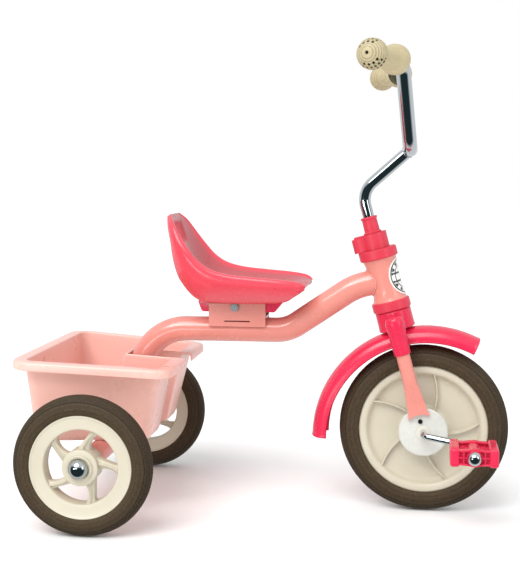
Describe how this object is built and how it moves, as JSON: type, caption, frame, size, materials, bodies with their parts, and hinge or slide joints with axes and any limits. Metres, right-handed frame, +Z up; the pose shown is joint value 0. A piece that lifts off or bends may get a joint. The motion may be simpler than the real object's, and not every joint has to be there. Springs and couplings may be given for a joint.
{
  "type": "child's tricycle",
  "caption": "Child's pedal tricycle: bent tube frame, raked fork with fender, high chromed handlebar, bucket seat on a sliding bracket and an open luggage tub behind.",
  "frame": {"origin": "on the floor under the middle of the tricycle's length and width", "axes": "+X forward, +Y to the rider's left, +Z up"},
  "size_m": [0.723, 0.4632, 0.6886],
  "materials": {
    "frame_paint": "gloss enamel",
    "collar_plastic": "moulded, semi-gloss",
    "seat_plastic": "moulded, semi-gloss",
    "pink_plastic": "moulded, glossy",
    "tub_plastic": "moulded, satin",
    "wheel_plastic": "moulded, satin",
    "grip_plastic": "moulded, satin",
    "bush_plastic": "moulded, matt",
    "plate_paint": "gloss enamel",
    "badge": "gloss",
    "tyre_rubber": "matt",
    "chrome_plate": "polished",
    "zinc_steel": "zinc plated",
    "dark_screw": "blackened"
  },
  "bodies": {
    "frame": {"main_tube": "frame_paint", "cross_tube": "frame_paint", "head_tube": "frame_paint", "head_badge": "badge", "upper_collar": "collar_plastic", "lower_collar": "collar_plastic", "seat_bracket": "frame_paint", "seat_bolt": "zinc_steel", "seat_nut": "zinc_steel", "rear_axle": "zinc_steel", "axle_bushes": "bush_plastic", "axle_washers": "zinc_steel", "axle_caps": "chrome_plate", "bin": "tub_plastic", "bin_screws": "zinc_steel"},
    "seat": {"seat_shell": "seat_plastic", "seat_base": "pink_plastic"},
    "steering": {"steerer": "zinc_steel", "fork_bridge": "zinc_steel", "fork_legs": "frame_paint", "crown_cover": "pink_plastic", "hub_plates": "plate_paint", "hub_bushes": "bush_plastic", "hub_screws": "dark_screw", "fender": "pink_plastic", "fender_bolt": "zinc_steel", "head_clamp": "collar_plastic", "clamp_screw": "zinc_steel", "stem_cap": "collar_plastic", "stem": "chrome_plate", "handlebar": "chrome_plate", "grips": "grip_plastic"},
    "front_wheel": {"front_tyre": "tyre_rubber", "front_rim": "wheel_plastic", "front_spacers": "zinc_steel", "crank": "chrome_plate", "pedal_caps": "chrome_plate"},
    "pedal_right": {"pedal_right": "pink_plastic"},
    "pedal_left": {"pedal_left": "pink_plastic"},
    "rear_wheel_right": {"rear_tyre_right": "tyre_rubber", "rear_rim_right": "wheel_plastic"},
    "rear_wheel_left": {"rear_tyre_left": "tyre_rubber", "rear_rim_left": "wheel_plastic"}
  },
  "joints": [
    {"name": "steer", "type": "hinge", "parent": "frame", "child": "steering", "pos_m": [0.2345, 0, 0.127], "axis": [-0.2588, 0, 0.9659], "range_deg": [-60, 60]},
    {"name": "front_spin", "type": "hinge", "parent": "steering", "child": "front_wheel", "pos_m": [0.2345, 0, 0.127], "axis": [0, 1, 0], "continuous": true},
    {"name": "pedal_right_spin", "type": "hinge", "parent": "front_wheel", "child": "pedal_right", "pos_m": [0.30504, -0.1215, 0.11896], "axis": [0, 1, 0], "continuous": true},
    {"name": "pedal_left_spin", "type": "hinge", "parent": "front_wheel", "child": "pedal_left", "pos_m": [0.16396, 0.1215, 0.13504], "axis": [0, 1, 0], "continuous": true},
    {"name": "rear_right_spin", "type": "hinge", "parent": "frame", "child": "rear_wheel_right", "pos_m": [-0.2415, -0.1965, 0.1015], "axis": [0, 1, 0], "continuous": true},
    {"name": "rear_left_spin", "type": "hinge", "parent": "frame", "child": "rear_wheel_left", "pos_m": [-0.2415, 0.1965, 0.1015], "axis": [0, 1, 0], "continuous": true},
    {"name": "seat_slide", "type": "slide", "parent": "frame", "child": "seat", "axis": [1, 0, 0], "range_m": [-0.015, 0.015]}
  ]
}
